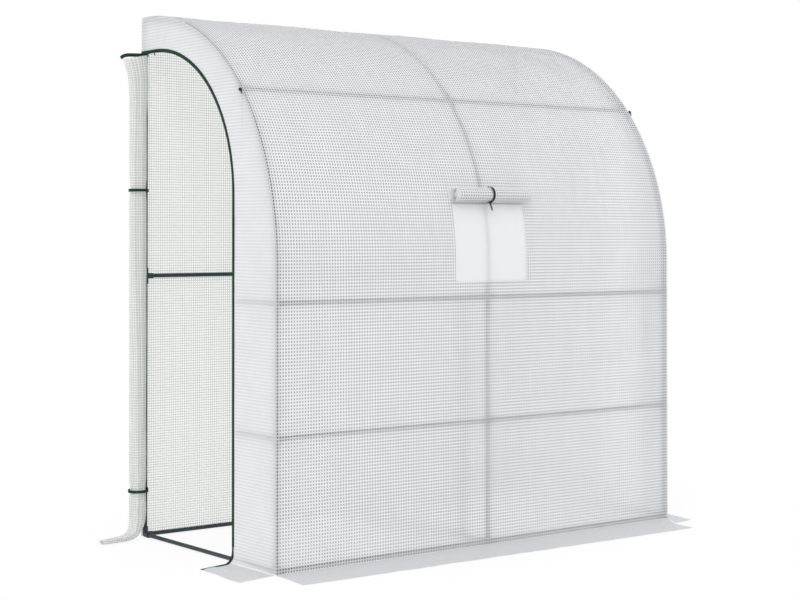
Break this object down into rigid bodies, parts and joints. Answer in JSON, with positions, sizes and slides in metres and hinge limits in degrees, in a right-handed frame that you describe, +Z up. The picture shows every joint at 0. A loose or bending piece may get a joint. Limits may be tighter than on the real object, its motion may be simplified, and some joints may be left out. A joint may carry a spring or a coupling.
{
  "type": "lean to greenhouse",
  "caption": "Lean-to greenhouse with a curved tube frame, grid film cover, end doors on arched zips and a rolled-up window flap over a mesh panel.",
  "frame": {"origin": "on the floor under the middle of the whole footprint, skirts and door foot included", "axes": "+Z up, +Y towards the wall, +X to the right seen from the front"},
  "size_m": [2.325, 1.231, 2.1163],
  "materials": {
    "cover_film": "woven grid film, translucent, satin",
    "window_film": "plain white film, satin",
    "window_mesh": "fine white insect mesh",
    "frame_tube": "dark green powder coat, satin",
    "fitting": "moulded, matt",
    "green_webbing": "woven tape, dark green",
    "zip_metal": "enamelled, glossy"
  },
  "bodies": {
    "root": {"left_front_post_lower": "frame_tube", "left_front_post_upper": "frame_tube", "left_side_arch": "frame_tube", "left_roof_arch": "frame_tube", "middle_front_post_lower": "frame_tube", "middle_front_post_upper": "frame_tube", "middle_side_arch": "frame_tube", "middle_roof_arch": "frame_tube", "right_front_post_lower": "frame_tube", "right_front_post_upper": "frame_tube", "right_side_arch": "frame_tube", "right_roof_arch": "frame_tube", "left_rear_post_lower": "frame_tube", "left_rear_post_upper": "frame_tube", "right_rear_post_lower": "frame_tube", "right_rear_post_upper": "frame_tube", "front_bottom_rail": "frame_tube", "front_lower_rail": "frame_tube", "front_upper_rail": "frame_tube", "roof_purlin": "frame_tube", "rear_top_rail": "frame_tube", "rear_bottom_rail": "frame_tube", "rear_mid_rail": "frame_tube", "left_floor_rail": "frame_tube", "right_floor_rail": "frame_tube", "middle_floor_rail": "frame_tube", "left_end_stays": "frame_tube", "right_end_stays": "frame_tube", "middle_brace_post": "frame_tube", "middle_brace_stay": "frame_tube", "floor_corner_fittings": "fitting", "floor_tee_fittings": "fitting", "lower_rail_fittings": "fitting", "upper_rail_fittings": "fitting", "purlin_fittings": "fitting", "top_fittings": "fitting", "rear_tee_fittings": "fitting", "front_cover": "cover_film", "roof_cover": "cover_film", "window_mesh": "window_mesh", "rear_cover": "cover_film", "left_end_cover": "cover_film", "right_end_cover": "cover_film", "front_skirt": "cover_film", "left_skirt": "cover_film", "right_skirt": "cover_film", "left_zip_tape": "green_webbing", "right_zip_tape": "green_webbing", "left_door_roll": "cover_film", "left_flap_zip": "green_webbing", "left_door_ties": "green_webbing", "cover_ties": "green_webbing"},
    "window_flap": {"window_roll": "window_film", "window_tie": "green_webbing"},
    "right_door": {"right_door_flap": "cover_film", "right_flap_zip": "green_webbing"},
    "left_slider": {"left_zip_slider": "zip_metal"},
    "left_pull": {"left_zip_pull": "zip_metal"},
    "right_slider": {"right_zip_slider": "zip_metal"},
    "right_pull": {"right_zip_pull": "zip_metal"}
  },
  "joints": [
    {"name": "window_flap_lift", "type": "hinge", "parent": "root", "child": "window_flap", "pos_m": [0.068, -0.33162, 1.41471], "axis": [-1, 0, 0], "range_deg": [0, 60]},
    {"name": "right_door_swing", "type": "hinge", "parent": "root", "child": "right_door", "pos_m": [1.105, 0.59, 0], "axis": [0, 0, 1], "range_deg": [0, 90]},
    {"name": "left_zip_travel", "type": "hinge", "parent": "root", "child": "left_slider", "pos_m": [-0.932, 0.4995, 1.378], "axis": [1, 0, 0], "range_deg": [0, 88.4]},
    {"name": "left_pull_swing", "type": "hinge", "parent": "left_slider", "child": "left_pull", "pos_m": [-0.9545, 0.4915, 1.96295], "axis": [0, 0.9999, 0.0137], "range_deg": [0, 100]},
    {"name": "right_zip_travel", "type": "hinge", "parent": "root", "child": "right_slider", "pos_m": [1.068, 0.5995, 1.28], "axis": [1, 0, 0], "range_deg": [0, 88.8]},
    {"name": "right_pull_swing", "type": "hinge", "parent": "right_slider", "child": "right_pull", "pos_m": [1.0905, 0.5915, 2.09996], "axis": [0, -1, -0.0098], "range_deg": [0, 100]}
  ]
}
